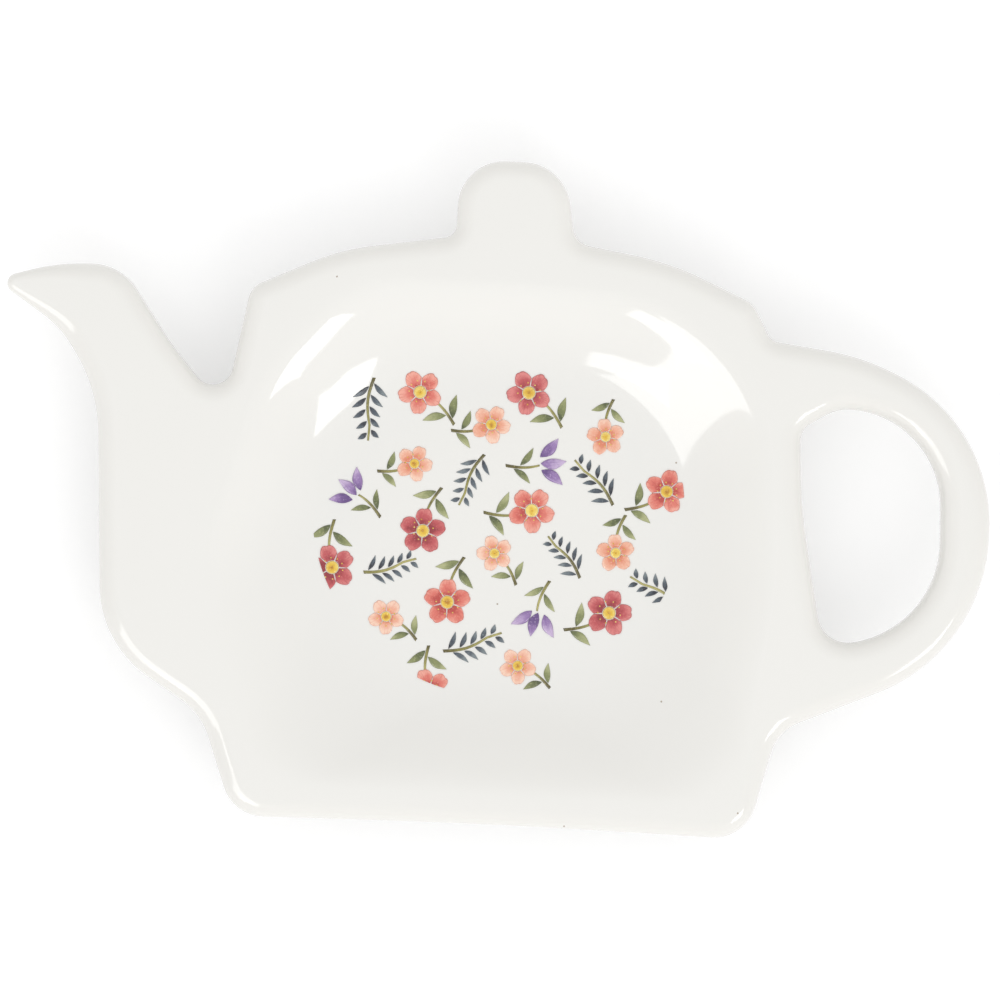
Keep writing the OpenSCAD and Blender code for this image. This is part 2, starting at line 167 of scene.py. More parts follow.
# The clay body
# One pressing of white clay, biscuit-fired: a flat rim with spout, knob and handle, a
# pot-shaped dish, and under it a foot ring that stands bare on the table.
pot_w, pot_h = 62 * mm, 71 * mm
spout_reach, handle_reach, strap_w = 60.6 * mm, 59.4 * mm, 5.65 * mm
knob_w, knob_h = 12.8 * mm, 9.5 * mm
rim_t, edge_r, lower_edge_r = 5 * mm, 2.4 * mm, 1.2 * mm
floor_t, floor_r = 4.5 * mm, 19.2 * mm
foot_r, foot_w, foot_h = 22.2 * mm, 3 * mm, 1.5 * mm
glaze_t, dry_margin = 0.25 * mm, 0.8 * mm
floor_z, under_z = foot_h + floor_t, rim_z - rim_t

# Each run of corners goes anticlockwise, the outline's from the base's right end. It holds the
# width that x follows, the height that y starts from, the height that y follows, and then
# x share, y share and radius share of each corner. The handle's x starts at its grip.
grip = 0.6 * pot_w
outline_runs = [
    (pot_w, 0, pot_h, [(0.513, 0, 0.073), (0.564, 0.187, 0.080)]),
    (handle_reach - grip, 0, pot_h, [(1, 0.338, 0.947), (1, 0.729, 0.902), (0.2535, 0.831, 1.26)], grip),
    (pot_w, 0, pot_h, [(0.515, 0.850, 0.028), (0.477, 0.912, 0.042), (0.310, 0.975, 0.507)]),
    (knob_w, pot_h, knob_h, [(0.598, 0, 0.037), (0.477, 1, 0.082), (-0.527, 1, 0.079),
                             (-0.523, 0.017, 0.023)]),
    (pot_w, 0, pot_h, [(-0.331, 0.970, 0.394), (-0.503, 0.899, 0.039), (-0.545, 0.688, 0.034)]),
    (spout_reach, 0, pot_h, [(-0.670, 0.798, 0.560), (-0.776, 0.928, 0.092), (-0.903, 0.923, 0.352),
                             (-1.024, 0.891, 0.017), (-0.891, 0.815, 0.169), (-0.810, 0.713, 0.268)]),
    (pot_w, 0, pot_h, [(-0.763, 0.280, 0.190), (-0.560, 0.170, 0.120), (-0.488, -0.002, 0.073),
                       (0, 0.006, 14)]),
]
hole_runs = [
    (handle_reach - strap_w - grip, 0, pot_h, [(0.164, 0.3345, 0.236), (1.013, 0.3725, 0.785),
                                               (0.951, 0.7394, 0.824), (0.187, 0.7401, 0.365),
                                               (-0.074, 0.7014, 0.146), (-0.036, 0.5655, 3.43)],
     grip),
]
dish_runs = [
    (pot_w, 0, pot_h, [(0.492, 0.056, 0.14), (0.55, 0.451, 0.85), (0.5, 0.914, 0.31), (0, 0.934, 1.7),
                       (-0.306, 0.932, 0.2), (-0.486, 0.752, 0.3), (-0.584, 0.423, 0.282),
                       (-0.445, 0.056, 0.14)]),
]


corner_step, least_steps = 9, 3
same_place = 0.05 * mm


def rounded_loop(runs, step):
    """A rounded corner polygon as points (place, outward direction), one at least every step,
    and round a corner one at least every corner_step degrees."""
    corners = []
    for w, low, h, run, *start in runs:
        for x, y, r in run:
            # the handle's radii follow its reach, and all the others the pot's height
            corners.append((Vector((x * w + sum(start), low + y * h)), r * (w if start else pot_h)))
    count = len(corners)
    sides = [(corners[(i + 1) % count][0] - corners[i][0]) for i in range(count)]
    turns = []
    for i in range(count):
        a, b = sides[i - 1].normalized(), sides[i].normalized()
        turns.append(math.atan2(a.x * b.y - a.y * b.x, a.dot(b)))
    reach = [corners[i][1] * math.tan(abs(turns[i]) / 2) for i in range(count)]
    arcs = []
    for i in range(count):
        after = (i + 1) % count
        fit_before = sides[i - 1].length / (reach[i - 1] + reach[i])
        fit_after = sides[i].length / (reach[i] + reach[after])
        fit = min(1, fit_before, fit_after)
        radius, way = corners[i][1] * fit, math.copysign(1, turns[i])
        along = sides[i - 1].normalized()
        across = Vector((along.y, -along.x))
        centre = corners[i][0] - along * reach[i] * fit - across * radius * way
        by_length = math.ceil(abs(turns[i]) * radius / step)
        by_turn = math.ceil(abs(math.degrees(turns[i])) / corner_step)
        steps = max(least_steps, by_length, by_turn)
        arc = []
        for k in range(steps + 1):
            a = turns[i] * k / steps
            out_way = across * math.cos(a) + along * math.sin(a)
            arc.append((centre + out_way * radius * way, out_way))
        arcs.append(arc)
    loop = []
    for i in range(count):
        last, first = arcs[i][-1], arcs[(i + 1) % count][0]
        gap = (first[0] - last[0]).length
        loop += arcs[i] if gap > same_place else arcs[i][:-1]
        cuts = math.ceil(gap / step)
        loop += [(last[0].lerp(first[0], k / cuts), last[1]) for k in range(1, cuts)]
    return loop


loop_step = 0.9 * mm
dish_centre_share = 0.54
outline, hole, dish = (rounded_loop(runs, loop_step) for runs in (outline_runs, hole_runs, dish_runs))
middle = Vector(((max(p.x for p, n in outline) + min(p.x for p, n in outline)) / 2,
                 (max(p.y for p, n in outline) + min(p.y for p, n in outline)) / 2))
outline, hole, dish = ([(p - middle, n) for p, n in loop] for loop in (outline, hole, dish))
dish_centre = Vector((0, dish_centre_share * pot_h)) - middle
spout_tip = min((p for p, n in outline), key=lambda p: p.x)

# How the edges roll over, and how the dish's wall falls
roundness = 2.3
top_turns = [math.radians(a) for a in (90, 84, 77, 70, 62, 54, 46, 38, 30, 22, 14, 7, 0)]
low_turns = [math.radians(a) for a in (0, 14, 28, 42, 56, 70, 80, 90)]
wall_rings, under_rings = 34, 20
fall = 0.4
tip_share, tip_slimming = 0.36, 4 * edge_r

# How thin the glaze lies, 1 on the sharpest edge and less than 0 where it pools
thin_below_rim, thin_at_shoulder, thin_under, thin_at_bead = 0.8, 0.2, 0.2, 0.6
pooled_at_cove = 0.7


def wall_drop(u):
    """0 at the dish's shoulder and 1 at its floor, steepest nearer the shoulder."""
    return (1 - math.cos(math.pi * u * (1 + fall * (1 - u)))) / 2


def edge_radius_share(p):
    """The rounded edge shrinks towards the thin tip of the spout."""
    return min(1, tip_share + (1 - tip_share) * (p - spout_tip).length / tip_slimming)


def edge_rings(loop, side, depth):
    """Rings from the top land over the edge and under it, as (points, thinness of the glaze).
    side is -1 on the outline and 1 round the finger hole, where the clay is outside the loop."""
    rings = []
    for top, turns in ((True, top_turns), (False, low_turns)):
        for a in turns:
            inward, upward = math.cos(a) ** (2 / roundness), math.sin(a) ** (2 / roundness)
            ring = []
            for p, n in loop:
                r = (edge_r if top else lower_edge_r) * edge_radius_share(p)
                xy = p + n * side * (r - (r - depth) * inward)
                z = rim_z - r + (r - depth) * upward if top else under_z + r - (r - depth) * upward
                ring.append(Vector((xy.x, xy.y, z)))
            rings.append((ring, math.sin(2 * a) if top else thin_below_rim))
    return rings


# The floor's oval: how flat it is, how far it is shifted, and how far its edge turns with the
# shoulder above it
flat_share = 0.87
shift_shares = (0.02, -0.115)
shoulder_pull = 0.85
floor_middle = dish_centre + Vector(shift_shares) * floor_r


def floor_spot(p, n):
    """The place on the floor's oval edge that faces nearly the same way as the shoulder there."""
    facing = n * shoulder_pull + (p - dish_centre).normalized() * (1 - shoulder_pull)
    turn = Vector((facing.x, facing.y * flat_share))
    return floor_middle + Vector((turn.x, turn.y * flat_share)) * (floor_r / turn.length)


floor_edge = [floor_spot(p, n) for p, n in dish]


def wall_ring_set(depth):
    """Rings down the dish's wall: the glaze is thin on its upper third and pools on its lower half."""
    rings = []
    for k in range(wall_rings + 1):
        u = k / wall_rings
        z = rim_z - depth - (rim_z - floor_z) * wall_drop(u)
        spots = [p.lerp(q, u) for (p, n), q in zip(dish, floor_edge)]
        thin = thin_at_shoulder * math.sin(math.pi * min(1, u * 3)) - pooled_at_cove * max(0, u * 2 - 1)
        rings.append(([Vector((spot.x, spot.y, z)) for spot in spots], thin))
    return rings


def ring_at(ways, reaches, z):
    """One ring round the dish's centre."""
    spots = [dish_centre + way * reach for way, reach in zip(ways, reaches)]
    return [Vector((spot.x, spot.y, z)) for spot in spots]


ways = [(p - dish_centre).normalized() for p, n in dish]
fars = [(p - dish_centre).length for p, n in dish]
under_inset, foot_clear = floor_t * 0.22, foot_h * 1.8


def under_ring_set(depth):
    """Rings under the dish, from below its shoulder to where the glaze stops short of the foot."""
    start, end = under_inset, foot_r + foot_clear
    rings = []
    for k in range(under_rings + 1):
        u = k / under_rings
        reaches = [(far - start) + (end - far + start) * u for far in fars]
        z = under_z + depth - (under_z - foot_h) * wall_drop(u)
        rings.append((ring_at(ways, reaches, z), thin_under))
    glaze_end = [foot_r + dry_margin] * len(ways)
    rings.append((ring_at(ways, glaze_end, foot_h + depth), thin_at_bead))
    return rings


def add_rings(bm, rings, thinness):
    """Rings of vertices joined by strips of faces, with the glaze's thinness kept on each."""
    made = []
    for ring, thin in rings:
        made.append([bm.verts.new(p) for p in ring])
        for v in made[-1]:
            v[thinness] = thin
    for a, b in zip(made, made[1:]):
        for i in range(len(a)):
            j = (i + 1) % len(a)
            bm.faces.new((a[i], b[i], b[j], a[j]))
    return made


def fill_land(bm, *loops):
    """The flat land between an outer loop and the loops inside it."""
    edges = []
    for loop in loops:
        for i in range(len(loop)):
            pair = loop[i - 1], loop[i]
            edges.append(bm.edges.get(pair) or bm.edges.new(pair))
    bmesh.ops.triangle_fill(bm, edges=edges, use_beauty=True)


def close_disc(bm, ring, centre_z, thinness, rings=5, thin=0.0):
    """Fills a ring round the dish's centre with smaller rings and a fan."""
    spots = [v.co.copy() for v in ring]
    middle_point = Vector((dish_centre.x, dish_centre.y, centre_z))
    inner = ring
    for k in range(1, rings):
        next_ring = [bm.verts.new(p.lerp(middle_point, k / rings)) for p in spots]
        for v in next_ring:
            v[thinness] = thin
        for i in range(len(inner)):
            j = (i + 1) % len(inner)
            bm.faces.new((inner[i], next_ring[i], next_ring[j], inner[j]))
        inner = next_ring
    hub = bm.verts.new(middle_point)
    hub[thinness] = thin
    for i in range(len(inner)):
        bm.faces.new((inner[i], hub, inner[(i + 1) % len(inner)]))


def add_skin(bm, depth, thinness):
    """The rest's whole surface at a depth below the finished glaze, open inside the foot."""
    rim = add_rings(bm, edge_rings(outline, -1, depth), thinness)
    grip_hole = add_rings(bm, edge_rings(hole, 1, depth), thinness)
    wall = add_rings(bm, wall_ring_set(depth), thinness)
    under = add_rings(bm, under_ring_set(depth), thinness)
    fill_land(bm, rim[0], grip_hole[0], wall[0])
    fill_land(bm, rim[-1], grip_hole[-1], under[0])
    close_disc(bm, wall[-1], floor_z - depth, thinness)
    return under[-1]


def new_piece(name, bm, smooth=True):
    """Turns a bmesh into an object whose faces point outwards."""
    bmesh.ops.recalc_face_normals(bm, faces=bm.faces)
    mesh = bpy.data.meshes.new(name)
    bm.to_mesh(mesh)
    bm.free()
    for face in mesh.polygons:
        face.use_smooth = smooth
    piece = bpy.data.objects.new(name, mesh)
    bpy.context.scene.collection.objects.link(piece)
    return piece


def turn_on(bm, ring, path, thinness, thin):
    """Carries a ring round the dish's centre along a path of (radius, height)."""
    for radius, z in path:
        after = [bm.verts.new(p) for p in ring_at(ways, [radius] * len(ways), z)]
        for i in range(len(ring)):
            j = (i + 1) % len(ring)
            bm.faces.new((ring[i], after[i], after[j], ring[j]))
        for v in after:
            v[thinness] = thin
        ring = after
    return ring


def quarter(radius, z, size, start, steps=6):
    """Points on a quarter circle about (radius, z), anticlockwise from a start angle if size > 0."""
    return [(radius + abs(size) * math.cos(a), z + abs(size) * math.sin(a))
            for a in (math.radians(start + math.copysign(90, size) * k / steps) for k in range(steps + 1))]


foot_round = 0.35 * mm
foot_inner = foot_r - foot_w
bm = bmesh.new()
thinness = bm.verts.layers.float.new("thinness")
ring = add_skin(bm, glaze_t, thinness)
foot_path = quarter(foot_r + foot_round, foot_h + glaze_t - foot_round, foot_round, 90)
foot_path += quarter(foot_r - foot_round, foot_round, -foot_round, 0)
foot_path += quarter(foot_inner + foot_round, foot_round, -foot_round, -90)
foot_path += [(foot_inner, foot_h), (foot_inner, foot_h + glaze_t)]
ring = turn_on(bm, ring, foot_path, thinness, 0.0)
close_disc(bm, ring, foot_h + glaze_t, thinness)
body = new_piece("clay_body", bm)


def kiln_group(name, inputs, outputs):
    """A new shader node group, with its sockets, and its input and output nodes."""
    group = bpy.data.node_groups.new(name, "ShaderNodeTree")
    for label, kind in inputs:
        group.interface.new_socket(label, in_out="INPUT", socket_type=kind)
    for label, kind in outputs:
        group.interface.new_socket(label, in_out="OUTPUT", socket_type=kind)
    return group, group.nodes.new("NodeGroupInput"), group.nodes.new("NodeGroupOutput")


def mix_colour(tree, at, blend="MIX"):
    """A colour mix node as (factor socket, first, second, result)."""
    node = tree.nodes.new("ShaderNodeMix")
    node.data_type, node.blend_type, node.location = "RGBA", blend, at
    return node.inputs[0], node.inputs[6], node.inputs[7], node.outputs[2]


def number(tree, at, operation, a, b, clamp=False):
    """A math node; each operand is a socket or a plain number."""
    node = add_node(tree, "ShaderNodeMath", at, operation=operation, use_clamp=clamp)
    for socket, value in zip(node.inputs, (a, b)):
        if isinstance(value, (int, float)):
            socket.default_value = value
        else:
            tree.links.new(value, socket)
    return node.outputs[0]


# Soft clouds and fine grain over a fired surface: two colours and a height
mottle, given, made = kiln_group(
    "fired_mottle",
    [("Base", "NodeSocketColor"), ("Cloud", "NodeSocketColor"), ("Cloud Scale", "NodeSocketFloat"),
     ("Grain Scale", "NodeSocketFloat"), ("Cloud Amount", "NodeSocketFloat"),
     ("Grain Amount", "NodeSocketFloat")],
    [("Color", "NodeSocketColor"), ("Height", "NodeSocketFloat")])
place = add_node(mottle, "ShaderNodeTexCoord", (-900, 0))
clouds = add_node(mottle, "ShaderNodeTexNoise", (-700, 120), Detail=3.0, Roughness=0.55)
grain = add_node(mottle, "ShaderNodeTexNoise", (-700, -160), Detail=2.0, Roughness=0.6)
for noise, scale in ((clouds, "Cloud Scale"), (grain, "Grain Scale")):
    mottle.links.new(place.outputs["Object"], noise.inputs["Vector"])
    mottle.links.new(given.outputs[scale], noise.inputs["Scale"])
cloudy = number(mottle, (-480, 120), "MULTIPLY", clouds.outputs["Fac"], given.outputs["Cloud Amount"], True)
grainy = number(mottle, (-480, -160), "MULTIPLY", grain.outputs["Fac"], given.outputs["Grain Amount"], True)
amount = number(mottle, (-300, 0), "ADD", cloudy, grainy, True)
factor, first, second, result = mix_colour(mottle, (-100, 60))
mottle.links.new(amount, factor)
mottle.links.new(given.outputs["Base"], first)
mottle.links.new(given.outputs["Cloud"], second)
mottle.links.new(result, made.inputs["Color"])
mottle.links.new(grain.outputs["Fac"], made.inputs["Height"])


def fired_material(name, base, cloud, cloud_scale, grain_scale, cloud_amount, grain_amount, roughness):
    """A Principled material whose colour comes from the mottle, with its tree and nodes."""
    material = bpy.data.materials.new(name)
    material.use_nodes = True
    tree = material.node_tree
    shader = tree.nodes["Principled BSDF"]
    shader.inputs["Roughness"].default_value = roughness
    surface = add_node(tree, "ShaderNodeGroup", (-420, 200), node_tree=mottle)
    surface.inputs["Base"].default_value = (*base, 1)
    surface.inputs["Cloud"].default_value = (*cloud, 1)
    for label, value in (("Cloud Scale", cloud_scale), ("Grain Scale", grain_scale),
                         ("Cloud Amount", cloud_amount), ("Grain Amount", grain_amount)):
        surface.inputs[label].default_value = value
    tree.links.new(surface.outputs["Color"], shader.inputs["Base Color"])
    return material, tree, shader, surface


# Bare biscuit: matt and a little sandy, in soft clouds of two clay colours
biscuit, tree, shader, surface = fired_material(
    "biscuit_clay", base=(0.80, 0.74, 0.63), cloud=(0.66, 0.58, 0.47), cloud_scale=260, grain_scale=5200,
    cloud_amount=0.35, grain_amount=0.45, roughness=0.88)
sand = add_node(tree, "ShaderNodeBump", (-220, -200), Strength=0.5, Distance=0.06 * mm)
tree.links.new(surface.outputs["Height"], sand.inputs["Height"])
tree.links.new(sand.outputs["Normal"], shader.inputs["Normal"])
body.data.materials.append(biscuit)
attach(body, "root")
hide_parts("biscuit_body")

# The glaze coat
# Clear-white glass, a quarter of a millimetre thick, dipped and fired over all but the foot. It
# draws thin over edges, pools in the dish's cove and ends in a bead short of the foot ring.
bm = bmesh.new()
thinness = bm.verts.layers.float.new("thinness")
outer_ring = add_skin(bm, 0, thinness)
inner_ring = add_skin(bm, glaze_t, thinness)
bead = quarter(foot_r + dry_margin, foot_h + glaze_t / 2, -glaze_t / 2, -90)
bead = [(2 * (foot_r + dry_margin) - radius, z) for radius, z in bead[1:-1]]
bead += [(radius, 2 * foot_h + glaze_t - z) for radius, z in reversed(bead)]
ring = turn_on(bm, outer_ring, bead, thinness, thin_at_bead)
for i in range(len(ring)):
    j = (i + 1) % len(ring)
    bm.faces.new((ring[i], inner_ring[i], inner_ring[j], ring[j]))
coat = new_piece("glaze_skin", bm)

# Slow waves of the glass and its few pinholes: a height, and a mask of the holes
ripple, given, made = kiln_group(
    "glaze_ripple",
    [("Wave Scale", "NodeSocketFloat"), ("Hole Scale", "NodeSocketFloat"),
     ("Hole Radius", "NodeSocketFloat"), ("Hole Share", "NodeSocketFloat")],
    [("Height", "NodeSocketFloat"), ("Holes", "NodeSocketFloat")])
place = add_node(ripple, "ShaderNodeTexCoord", (-1100, 0))
waves = add_node(ripple, "ShaderNodeTexNoise", (-800, 160), Detail=2.0, Roughness=0.4)
cells = add_node(ripple, "ShaderNodeTexVoronoi", (-800, -160), voronoi_dimensions="2D", feature="F1")
ripple.links.new(place.outputs["Object"], waves.inputs["Vector"])
ripple.links.new(place.outputs["Object"], cells.inputs["Vector"])
ripple.links.new(given.outputs["Wave Scale"], waves.inputs["Scale"])
ripple.links.new(given.outputs["Hole Scale"], cells.inputs["Scale"])
near = number(ripple, (-560, -120), "DIVIDE", cells.outputs["Distance"], given.outputs["Hole Scale"])
inside = number(ripple, (-380, -120), "LESS_THAN", near, given.outputs["Hole Radius"])
lot = add_node(ripple, "ShaderNodeSeparateColor", (-560, -300))
ripple.links.new(cells.outputs["Color"], lot.inputs[0])
chosen = number(ripple, (-380, -300), "LESS_THAN", lot.outputs[0], given.outputs["Hole Share"])
holes = number(ripple, (-200, -200), "MULTIPLY", inside, chosen)
height = number(ripple, (-20, 0), "SUBTRACT", waves.outputs["Fac"], holes)
ripple.links.new(height, made.inputs["Height"])
ripple.links.new(holes, made.inputs["Holes"])


glass_ior = 1.6
wave_scale, wave_strength, wave_height = 95, 0.35, 0.10 * mm
hole_scale, hole_radius = 97, 0.11 * mm
# The edges' warm, darker tint is partly the clay showing through thin glaze and partly painted shade on the
# rounded edges.
clay_through_and_edge_shade, edge_tint_and_shade_share = (0.70, 0.665, 0.61, 1), 0.16
pooled_white, pool_tint_share = (0.868, 0.87, 0.852, 1), 0.35
iron_speck = (0.42, 0.36, 0.29, 1)


def glaze_material(name, hole_share):
    """White gloss glaze: warmer and darker on the edges, partly where it is thin and partly as painted
    shade, with pinholes and slow waves.
    """
    material, tree, shader, surface = fired_material(
        name, base=(0.870, 0.862, 0.829), cloud=(0.838, 0.825, 0.787), cloud_scale=70, grain_scale=2600,
        cloud_amount=0.25, grain_amount=0.10, roughness=0.07)
    shader.inputs["IOR"].default_value = glass_ior
    waves = add_node(tree, "ShaderNodeGroup", (-420, -320), node_tree=ripple)
    for label, value in (("Wave Scale", wave_scale), ("Hole Scale", hole_scale),
                         ("Hole Radius", hole_radius), ("Hole Share", hole_share)):
        waves.inputs[label].default_value = value
    thin = add_node(tree, "ShaderNodeAttribute", (-700, 420), attribute_name="thinness")
    # Darker warm tint on the edges: partly thin glaze, partly painted shade
    on_edges = number(tree, (-420, 420), "MULTIPLY", thin.outputs["Fac"], edge_tint_and_shade_share, True)
    factor, first, second, warmer = mix_colour(tree, (-200, 360))
    second.default_value = clay_through_and_edge_shade
    tree.links.new(on_edges, factor)
    tree.links.new(surface.outputs["Color"], first)
    pooled = number(tree, (-420, 600), "MULTIPLY", thin.outputs["Fac"], -pool_tint_share, True)
    factor, first, second, whiter = mix_colour(tree, (-20, 420))
    second.default_value = pooled_white
    tree.links.new(pooled, factor)
    tree.links.new(warmer, first)
    factor, first, second, pitted = mix_colour(tree, (160, 420))
    second.default_value = iron_speck
    tree.links.new(waves.outputs["Holes"], factor)
    tree.links.new(whiter, first)
    tree.links.new(pitted, shader.inputs["Base Color"])
    bump = add_node(tree, "ShaderNodeBump", (-200, -320), Strength=wave_strength, Distance=wave_height)
    tree.links.new(waves.outputs["Height"], bump.inputs["Height"])
    tree.links.new(bump.outputs["Normal"], shader.inputs["Normal"])
    return material


coat.data.materials.append(glaze_material("white_gloss_glaze", hole_share=0.16))
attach(coat, "root")
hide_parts("glaze_coat")

# The glaze pool inside the foot ring
# A shallow pool of the same glaze in the recess, parted from the main coat by the wiped foot
# and drawn a little way down the ring's inner wall.
lip, lip_thin = foot_h / 3, glaze_t * 0.4
thin_on_lip = 0.3
bm = bmesh.new()
thinness = bm.verts.layers.float.new("thinness")
start = [bm.verts.new(p) for p in ring_at(ways, [foot_inner] * len(ways), foot_h + glaze_t)]
pool_path = [(foot_inner, foot_h - lip + lip_thin)]
pool_path += [(foot_inner - lip_thin, foot_h - lip)]
pool_path += quarter(foot_inner - glaze_t - lip, foot_h - lip, lip, 0)
ring = turn_on(bm, start, pool_path, thinness, thin_on_lip)
close_disc(bm, ring, foot_h, thinness)
close_disc(bm, start, foot_h + glaze_t, thinness)
pool = new_piece("foot_pool_glaze", bm)
pool.data.materials.append(glaze_material("white_pool_glaze", hole_share=0.3))
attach(pool, "root")
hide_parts("foot_well_glaze")

# The print's stems
# A round transfer of scattered sprigs, screened in eight enamel colours and fired into the
# glaze of the dish floor. Olive is laid first: each sprig's stem, bowed under its flower.
print_r, film_t = 22.6 * mm, 0.08 * mm
stem_w, colour_gap = 0.34 * mm, 0.08 * mm
bearing = ("coral", "slate", "peach", "lilac", "rose", "slate", "peach")
sprig_count = 29
golden = 137.508
size_share, size_vary, size_step = 0.168, 0.02, 100
spread_share, bare_share, first_out = 0.985, 0.62, 0.35
first_turn, turn_step = 275, 241
stem_bow, stem_run = 0.12, 1.4
stem_foot_share, stem_taper_share = 1.15, 0.45


def wave(number_in, salt):
    """A repeatable value from 0 to 1 for each number, so that no two sprigs are alike."""
    return 0.5 + 0.5 * math.sin(number_in * 12.9898 + salt * 78.233)


def sprigs(*kinds):
    """The sprigs that bear one of the kinds, as (number, kind, size, place on the dish, turn).
    They lie on a spiral of even spacing, and their turns and sizes follow no order to the eye."""
    for i in range(sprig_count):
        kind = bearing[i % len(bearing)]
        if kind in kinds:
            size = print_r * (size_share + size_vary * math.cos(math.radians(size_step * i)))
            far = print_r * spread_share * math.sqrt((i + first_out) / sprig_count)
            heading = math.radians(golden * i)
            spot = Vector((far * math.cos(heading), far * math.sin(heading)))
            # towards the knob, where the wall is nearest, the print is bare
            if spot.y < bare_share * print_r:
                yield i, kind, size, spot, math.radians(first_turn + turn_step * i)


coat_spots = [v.co for v in coat.data.vertices]
coat_faces = [face.vertices for face in coat.data.polygons]
glazed = BVHTree.FromPolygons(coat_spots, coat_faces)


def dish_height(spot):
    """Height of the glazed dish at a place measured from the dish's centre."""
    above = Vector((spot.x + dish_centre.x, spot.y + dish_centre.y, 2 * rim_z))
    return glazed.ray_cast(above, Vector((0, 0, -1)))[0].z


film_bite, least_edge = 0.01 * mm, 0.002 * mm


def enamel_film(name, patches, level):
    """One colour of the print from its patches, each rows of (place, along, across) and a seed.
    What lies outside the print's circle is cropped, and the film bites a little into the glaze."""
    bm = bmesh.new()
    marks = [bm.verts.layers.float.new(label) for label in ("along", "across", "seed")]
    for rows, seed in patches:
        laid = []
        for row in rows:
            laid.append([])
            for spot, along, across in row:
                place = spot if spot.length <= print_r else spot.normalized() * print_r
                on_dish = place + dish_centre
                v = bm.verts.new((on_dish.x, on_dish.y, dish_height(place) + level))
                for mark, value in zip(marks, (along, across, seed)):
                    v[mark] = value
                laid[-1].append((v, spot.length > print_r))
        for a, b in zip(laid, laid[1:]):
            for k in range(len(a) - 1):
                corners = (a[k], b[k], b[k + 1], a[k + 1])
                if not all(beyond for v, beyond in corners):
                    bm.faces.new([v for v, beyond in corners])
    loose = [v for v in bm.verts if not v.link_faces]
    bmesh.ops.delete(bm, geom=loose, context="VERTS")
    bmesh.ops.dissolve_degenerate(bm, dist=least_edge, edges=bm.edges)
    for face in bm.faces:
        if face.normal.z < 0:
            face.normal_flip()
    mesh = bpy.data.meshes.new(name)
    bm.to_mesh(mesh)
    bm.free()
    for face in mesh.polygons:
        face.use_smooth = True
    film = bpy.data.objects.new(name, mesh)
    bpy.context.scene.collection.objects.link(film)
    body_of_film = film.modifiers.new("film_thickness", "SOLIDIFY")
    body_of_film.thickness, body_of_film.offset = level + film_bite, -1
    return film


def placed(x, y, spot, turn):
    """A point of a sprig, turned and put in its place on the print."""
    c, s = math.cos(turn), math.sin(turn)
    return Vector((spot.x + x * c - y * s, spot.y + x * s + y * c))


def bow_at(size, y):
    """How far a stem stands to one side at a height of the sprig."""
    return size * stem_bow * math.sin(math.pi * min(1, max(0, (y / size + 1) / stem_run)))


def stem_patch(i, size, spot, turn, top, steps=16):
    """A tapering stem that runs up to a share of the sprig's size above its middle."""
    rows = []
    for k in range(steps + 1):
        a = k / steps
        y = size * (-1 + (top + 1) * a)
        w = stem_w / 2 * (stem_foot_share - stem_taper_share * a)
        rows.append([(placed(bow_at(size, y) + side * w, y, spot, turn), a, side) for side in (-1, 0, 1)])
    return rows, wave(i, 1)


# Screen-printed enamel: deep at the base, paling outwards, with blotches, veins, a darker
# rim and the pricks of bare glaze that a screen leaves
wash, given, made = kiln_group(
    "enamel_wash",
    [("Deep", "NodeSocketColor"), ("Mid", "NodeSocketColor"), ("Pale", "NodeSocketColor"),
     ("Along", "NodeSocketFloat"), ("Across", "NodeSocketFloat"), ("Seed", "NodeSocketFloat"),
     ("Blotch Scale", "NodeSocketFloat"), ("Veins", "NodeSocketFloat"), ("Vein Depth", "NodeSocketFloat")],
    [("Color", "NodeSocketColor")])


def eased(tree, at, value, low, high):
    """0 below low, 1 above high, smooth between."""
    node = add_node(tree, "ShaderNodeMapRange", at, interpolation_type="SMOOTHSTEP")
    node.inputs["From Min"].default_value, node.inputs["From Max"].default_value = low, high
    tree.links.new(value, node.inputs["Value"])
    return node.outputs["Result"]


blotch_depth, own_depth = 1.1, 0.4
vein_shuffle = 31.0
rim_depth, prick_depth = 0.38, 0.55
place = add_node(wash, "ShaderNodeTexCoord", (-1500, 0))

# Blotches, and every patch a little deeper or paler as a whole
blotch = add_node(wash, "ShaderNodeTexNoise", (-1300, 100), Detail=3.0, Roughness=0.6)
wash.links.new(place.outputs["Object"], blotch.inputs["Vector"])
wash.links.new(given.outputs["Blotch Scale"], blotch.inputs["Scale"])
spread = number(wash, (-1100, 100), "MULTIPLY_ADD", blotch.outputs["Fac"], blotch_depth)
spread.node.inputs[2].default_value = -blotch_depth / 2
own = number(wash, (-1100, -60), "MULTIPLY_ADD", given.outputs["Seed"], own_depth)
own.node.inputs[2].default_value = -own_depth / 2
blotched = number(wash, (-1000, 200), "ADD", given.outputs["Along"], spread)
shade = number(wash, (-920, 60), "ADD", blotched, own)
mid_mask = eased(wash, (-520, 200), shade, 0.0, 0.5)
pale_mask = eased(wash, (-520, 0), shade, 0.45, 1.05)

# Veins that run along the patch
vein_place = add_node(wash, "ShaderNodeCombineXYZ", (-1300, -300))
vein_across = number(wash, (-1480, -300), "MULTIPLY", given.outputs["Across"], given.outputs["Veins"])
vein_lot = number(wash, (-1480, -440), "MULTIPLY", given.outputs["Seed"], vein_shuffle)
wash.links.new(vein_across, vein_place.inputs[0])
wash.links.new(given.outputs["Along"], vein_place.inputs[1])
wash.links.new(vein_lot, vein_place.inputs[2])
vein_noise = add_node(wash, "ShaderNodeTexNoise", (-1100, -300), Scale=1.6, Detail=1.5)
wash.links.new(vein_place.outputs[0], vein_noise.inputs["Vector"])
vein_lines = eased(wash, (-900, -300), vein_noise.outputs["Fac"], 0.5, 0.68)
veins = number(wash, (-700, -300), "MULTIPLY", vein_lines, given.outputs["Vein Depth"])

